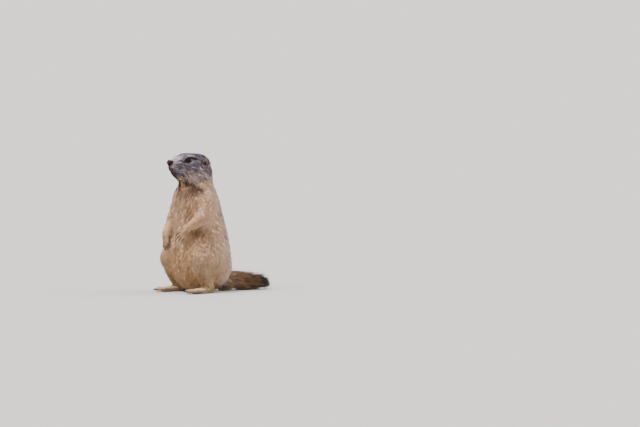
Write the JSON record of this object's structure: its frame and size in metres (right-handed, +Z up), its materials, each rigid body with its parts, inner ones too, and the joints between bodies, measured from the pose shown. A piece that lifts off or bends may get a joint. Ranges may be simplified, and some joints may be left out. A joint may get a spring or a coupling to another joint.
{
  "type": "sitting alpine marmot",
  "caption": "Life-size still model of a stout ground rodent that sits upright on its haunches, head turned to one side, arms held before a furry belly, short bushy tail behind.",
  "frame": {"origin": "on the floor, on the flat under the rump where the animal sits", "axes": "the body faces -Y, its left side is +X and +Z is up; the head is turned to the animal's right"},
  "size_m": [0.1762, 0.3096, 0.3412],
  "materials": {
    "face_fur": "short grey fur, matt",
    "body_fur": "streaky sandy fur, matt",
    "limb_fur": "pale buff fur, matt",
    "paw_fur": "very short fur, matt",
    "tail_fur": "long bushy fur, dark tip",
    "nose_skin": "bare moist skin",
    "eye": "wet and glossy",
    "claw": "dark horn"
  },
  "bodies": {
    "root": {"head": "face_fur", "nose": "nose_skin", "neck": "body_fur", "torso": "body_fur", "tail": "tail_fur", "eye_left": "eye", "ear_left": "face_fur", "upper_arm_left": "limb_fur", "forearm_left": "limb_fur", "hand_left": "paw_fur", "claw_hand_left_1": "claw", "claw_hand_left_2": "claw", "claw_hand_left_3": "claw", "claw_hand_left_4": "claw", "thigh_left": "body_fur", "shank_left": "limb_fur", "foot_left": "paw_fur", "claw_foot_left_1": "claw", "claw_foot_left_2": "claw", "claw_foot_left_3": "claw", "claw_foot_left_4": "claw", "claw_foot_left_5": "claw", "eye_right": "eye", "ear_right": "face_fur", "upper_arm_right": "limb_fur", "forearm_right": "limb_fur", "hand_right": "paw_fur", "claw_hand_right_1": "claw", "claw_hand_right_2": "claw", "claw_hand_right_3": "claw", "claw_hand_right_4": "claw", "thigh_right": "body_fur", "shank_right": "limb_fur", "foot_right": "paw_fur", "claw_foot_right_1": "claw", "claw_foot_right_2": "claw", "claw_foot_right_3": "claw", "claw_foot_right_4": "claw", "claw_foot_right_5": "claw"}
  },
  "joints": []
}
